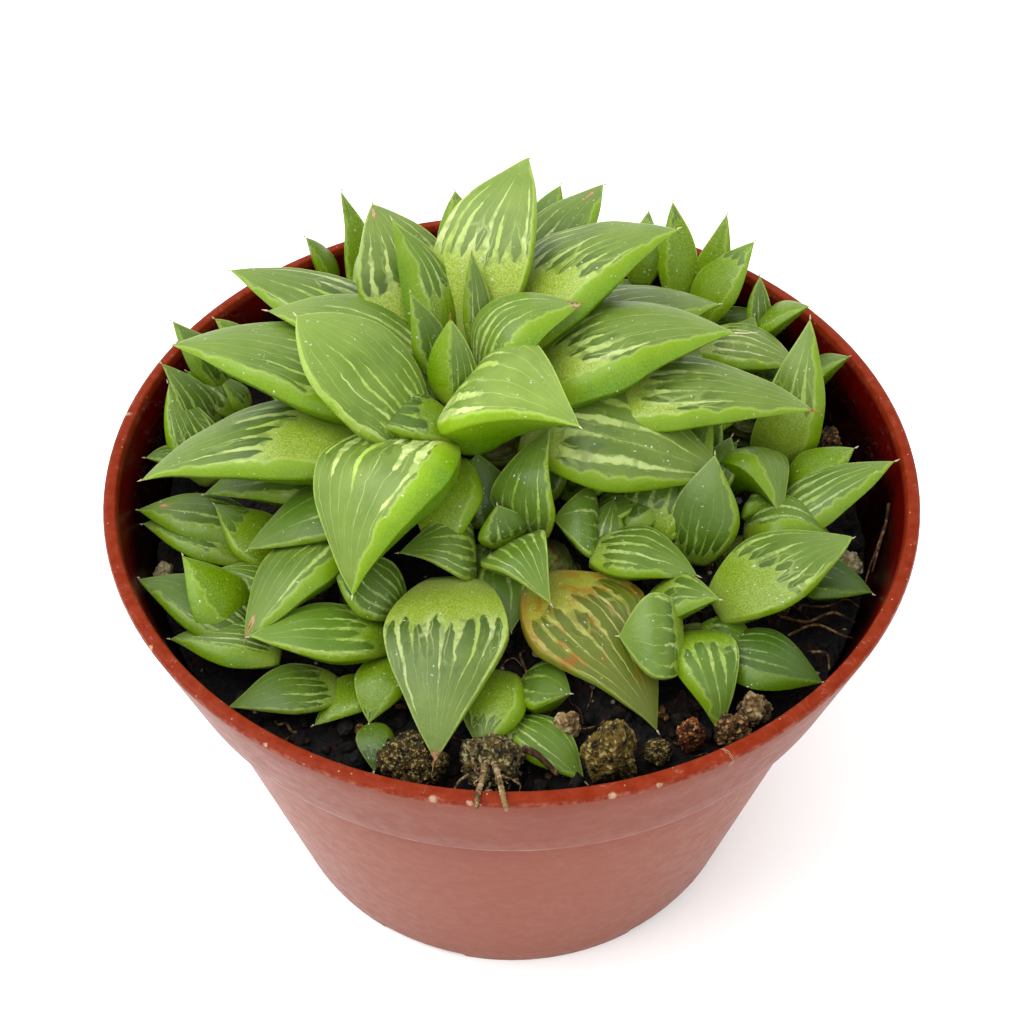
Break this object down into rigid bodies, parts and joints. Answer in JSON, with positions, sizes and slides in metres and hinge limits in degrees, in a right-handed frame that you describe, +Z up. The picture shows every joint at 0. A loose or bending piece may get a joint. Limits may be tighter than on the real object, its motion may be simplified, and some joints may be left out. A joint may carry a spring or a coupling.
{
  "type": "potted haworthia",
  "caption": "Low clump of windowed succulent leaves with small offsets, growing in dark soil in a round tapered plastic nursery pot with a wide rim band.",
  "frame": {"origin": "middle of the pot's foot, on the surface it stands on", "axes": "+Z up along the pot's axis; -Y is the side one looks at, with the longest leaves of the front offset over the rim's near side; +X to the right"},
  "size_m": [0.105, 0.105, 0.0951],
  "materials": {
    "pot": "brick red moulded polypropylene, satin, scuffed and lightly hazed on the outside",
    "soil": "near-black peat potting soil with fibres and pale specks, matte and crumbly",
    "stem": "short fleshy stem under the leaves, green to pale, matte",
    "leaf": "plump waxy leaf, satin, with grey-green windows and pale yellow-green lines above and a bright green keel",
    "moss": "mossy lump of soil and bark, rough",
    "root": "dried root stub with clinging soil, rough",
    "bark": "chip of red-brown bark, rough",
    "perlite": "porous white perlite, matte"
  },
  "bodies": {
    "root": {"pot": "pot", "soil": "soil", "back_right_stem": "stem", "back_stem": "stem", "far_right_stem": "stem", "front_stem": "stem", "left_front_stem": "stem", "main_stem": "stem", "right_front_stem": "stem", "right_stem": "stem", "back_leaf_1": "leaf", "back_left_leaf_1": "leaf", "back_right_leaf_1": "leaf", "back_right_leaf_2": "leaf", "far_right_leaf_1": "leaf", "far_right_leaf_2": "leaf", "front_leaf_1": "leaf", "front_leaf_2": "leaf", "front_leaf_3": "leaf", "front_leaf_4": "leaf", "front_leaf_5": "leaf", "front_leaf_6": "leaf", "left_front_leaf_1": "leaf", "left_front_leaf_2": "leaf", "left_front_leaf_3": "leaf", "left_leaf_1": "leaf", "low_front_leaf_1": "leaf", "low_front_leaf_2": "leaf", "main_leaf_1": "leaf", "main_leaf_2": "leaf", "main_leaf_3": "leaf", "main_leaf_4": "leaf", "main_leaf_5": "leaf", "main_leaf_6": "leaf", "main_leaf_7": "leaf", "main_leaf_8": "leaf", "main_leaf_9": "leaf", "main_leaf_10": "leaf", "main_leaf_11": "leaf", "main_leaf_12": "leaf", "main_leaf_13": "leaf", "main_leaf_14": "leaf", "main_leaf_15": "leaf", "main_leaf_16": "leaf", "main_leaf_17": "leaf", "main_leaf_18": "leaf", "main_leaf_19": "leaf", "main_leaf_20": "leaf", "main_leaf_21": "leaf", "right_front_leaf_1": "leaf", "right_front_leaf_2": "leaf", "right_front_leaf_3": "leaf", "right_leaf_1": "leaf", "right_leaf_2": "leaf", "right_leaf_3": "leaf", "moss_lump": "moss", "root_lump": "root", "mossy_stone": "moss", "bark_chip": "bark", "perlite_lump": "perlite"}
  },
  "joints": []
}
